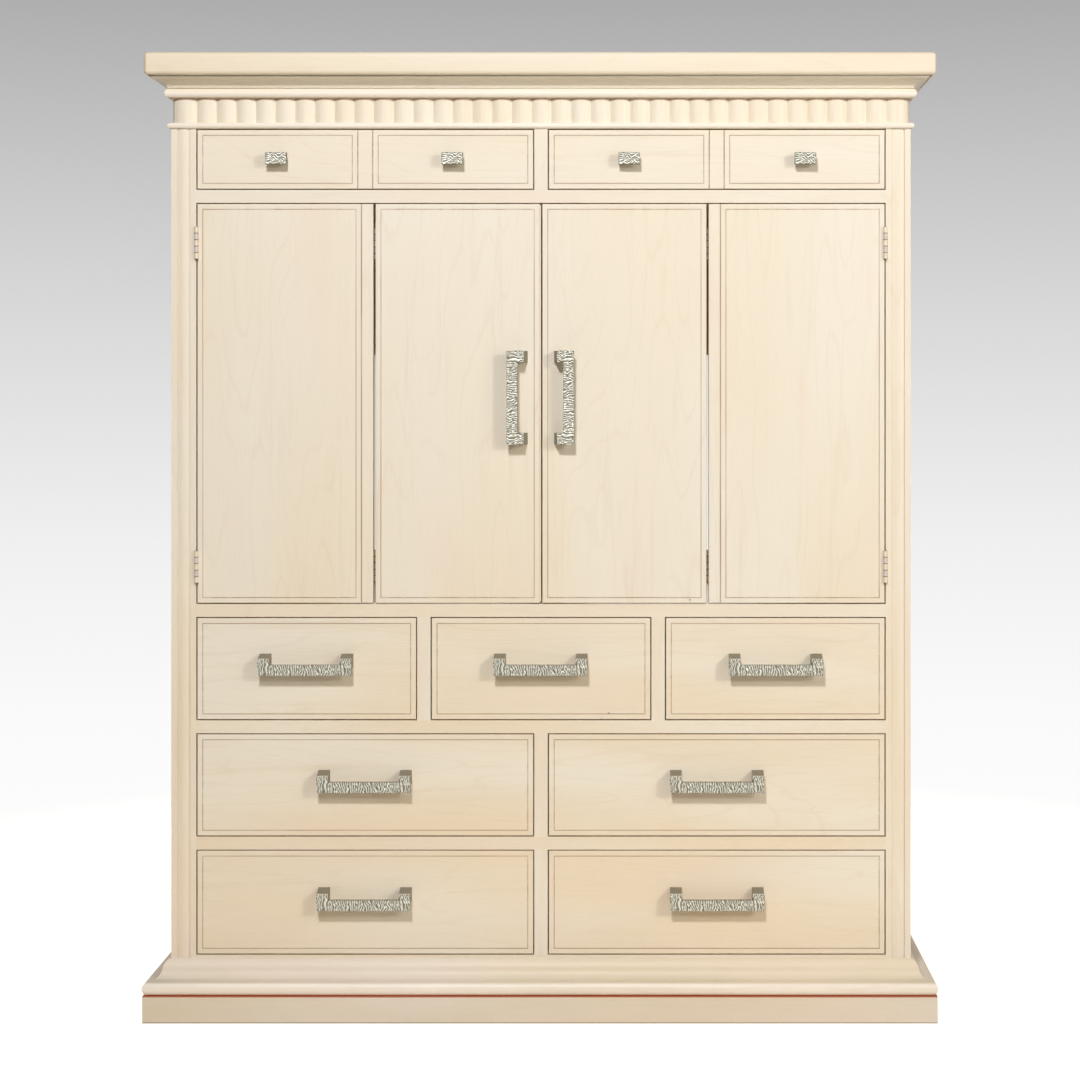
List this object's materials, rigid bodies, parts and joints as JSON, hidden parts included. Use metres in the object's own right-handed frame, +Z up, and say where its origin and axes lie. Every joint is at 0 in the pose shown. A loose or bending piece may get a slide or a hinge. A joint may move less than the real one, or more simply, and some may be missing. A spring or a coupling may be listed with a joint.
{
  "type": "tv armoire",
  "caption": "Tall media cabinet with a reeded frieze and moulded cornice, folding doors in front of a television bay, and drawers with cast bracket pulls above and below it.",
  "frame": {"origin": "middle of the footprint, on the floor", "axes": "+X to the right as seen from the front, +Y to the back, +Z up; the front faces -Y"},
  "size_m": [1.561, 0.61, 1.905],
  "materials": {
    "pickled_wood": "pale cream pickled finish with a thin glaze in the scored lines",
    "interior_wood": "clear lacquered board",
    "drawer_wood": "clear lacquered solid wood",
    "cast_pull": "antique silver with a bark-like texture",
    "hinge_metal": "painted over in the cream of the case, worn at the barrel",
    "strike_steel": "zinc plated",
    "catch_plastic": "brown moulded plastic"
  },
  "bodies": {
    "carcass": {"side_panel_left": "pickled_wood", "side_panel_right": "pickled_wood", "pilaster_left": "pickled_wood", "pilaster_right": "pickled_wood", "face_frame": "pickled_wood", "top_board": "pickled_wood", "cornice_moulding": "pickled_wood", "reeded_frieze": "pickled_wood", "astragal_moulding": "pickled_wood", "base_moulding": "pickled_wood", "plinth": "pickled_wood", "bay_ceiling": "interior_wood", "bay_floor": "interior_wood", "dust_panels": "interior_wood", "back_panel": "interior_wood", "drawer_guides": "interior_wood", "case_hinge_leaves": "hinge_metal", "door_catches": "catch_plastic"},
    "drawer_top_left": {"drawer_front_top_left": "pickled_wood", "drawer_box_top_left": "drawer_wood", "drawer_knobs_top_left": "cast_pull"},
    "drawer_top_right": {"drawer_front_top_right": "pickled_wood", "drawer_box_top_right": "drawer_wood", "drawer_knobs_top_right": "cast_pull"},
    "drawer_upper_left": {"drawer_front_upper_left": "pickled_wood", "drawer_box_upper_left": "drawer_wood", "drawer_pull_upper_left": "cast_pull"},
    "drawer_upper_middle": {"drawer_front_upper_middle": "pickled_wood", "drawer_box_upper_middle": "drawer_wood", "drawer_pull_upper_middle": "cast_pull"},
    "drawer_upper_right": {"drawer_front_upper_right": "pickled_wood", "drawer_box_upper_right": "drawer_wood", "drawer_pull_upper_right": "cast_pull"},
    "drawer_middle_left": {"drawer_front_middle_left": "pickled_wood", "drawer_box_middle_left": "drawer_wood", "drawer_pull_middle_left": "cast_pull"},
    "drawer_middle_right": {"drawer_front_middle_right": "pickled_wood", "drawer_box_middle_right": "drawer_wood", "drawer_pull_middle_right": "cast_pull"},
    "drawer_lower_left": {"drawer_front_lower_left": "pickled_wood", "drawer_box_lower_left": "drawer_wood", "drawer_pull_lower_left": "cast_pull"},
    "drawer_lower_right": {"drawer_front_lower_right": "pickled_wood", "drawer_box_lower_right": "drawer_wood", "drawer_pull_lower_right": "cast_pull"},
    "door_left_outer": {"door_left_outer": "pickled_wood", "door_hinge_leaves_left": "hinge_metal", "fold_hinge_outer_left": "hinge_metal"},
    "door_left_inner": {"door_left_inner": "pickled_wood", "door_pull_left": "cast_pull", "fold_hinge_inner_left": "hinge_metal", "strike_plate_left": "strike_steel"},
    "door_right_outer": {"door_right_outer": "pickled_wood", "door_hinge_leaves_right": "hinge_metal", "fold_hinge_outer_right": "hinge_metal"},
    "door_right_inner": {"door_right_inner": "pickled_wood", "door_pull_right": "cast_pull", "fold_hinge_inner_right": "hinge_metal", "strike_plate_right": "strike_steel"}
  },
  "joints": [
    {"name": "drawer_top_left_slide", "type": "slide", "parent": "carcass", "child": "drawer_top_left", "axis": [0, -1, 0], "range_m": [0, 0.38]},
    {"name": "drawer_top_right_slide", "type": "slide", "parent": "carcass", "child": "drawer_top_right", "axis": [0, -1, 0], "range_m": [0, 0.38]},
    {"name": "drawer_upper_left_slide", "type": "slide", "parent": "carcass", "child": "drawer_upper_left", "axis": [0, -1, 0], "range_m": [0, 0.38]},
    {"name": "drawer_upper_middle_slide", "type": "slide", "parent": "carcass", "child": "drawer_upper_middle", "axis": [0, -1, 0], "range_m": [0, 0.38]},
    {"name": "drawer_upper_right_slide", "type": "slide", "parent": "carcass", "child": "drawer_upper_right", "axis": [0, -1, 0], "range_m": [0, 0.38]},
    {"name": "drawer_middle_left_slide", "type": "slide", "parent": "carcass", "child": "drawer_middle_left", "axis": [0, -1, 0], "range_m": [0, 0.38]},
    {"name": "drawer_middle_right_slide", "type": "slide", "parent": "carcass", "child": "drawer_middle_right", "axis": [0, -1, 0], "range_m": [0, 0.38]},
    {"name": "drawer_lower_left_slide", "type": "slide", "parent": "carcass", "child": "drawer_lower_left", "axis": [0, -1, 0], "range_m": [0, 0.38]},
    {"name": "drawer_lower_right_slide", "type": "slide", "parent": "carcass", "child": "drawer_lower_right", "axis": [0, -1, 0], "range_m": [0, 0.38]},
    {"name": "door_left_outer_hinge", "type": "hinge", "parent": "carcass", "child": "door_left_outer", "pos_m": [-0.682, -0.2613, 1.215], "axis": [0, 0, -1], "range_deg": [0, 90]},
    {"name": "door_left_inner_fold", "type": "hinge", "parent": "door_left_outer", "child": "door_left_inner", "pos_m": [-0.33, -0.2327, 1.215], "axis": [0, 0, 1], "range_deg": [0, 180]},
    {"name": "door_right_outer_hinge", "type": "hinge", "parent": "carcass", "child": "door_right_outer", "pos_m": [0.682, -0.2613, 1.215], "axis": [0, 0, 1], "range_deg": [0, 90]},
    {"name": "door_right_inner_fold", "type": "hinge", "parent": "door_right_outer", "child": "door_right_inner", "pos_m": [0.33, -0.2327, 1.215], "axis": [0, 0, -1], "range_deg": [0, 180]}
  ],
  "couplings": [
    {"joint": "door_left_inner_fold", "follows": "door_left_outer_hinge", "ratio": 2},
    {"joint": "door_right_inner_fold", "follows": "door_right_outer_hinge", "ratio": 2}
  ]
}
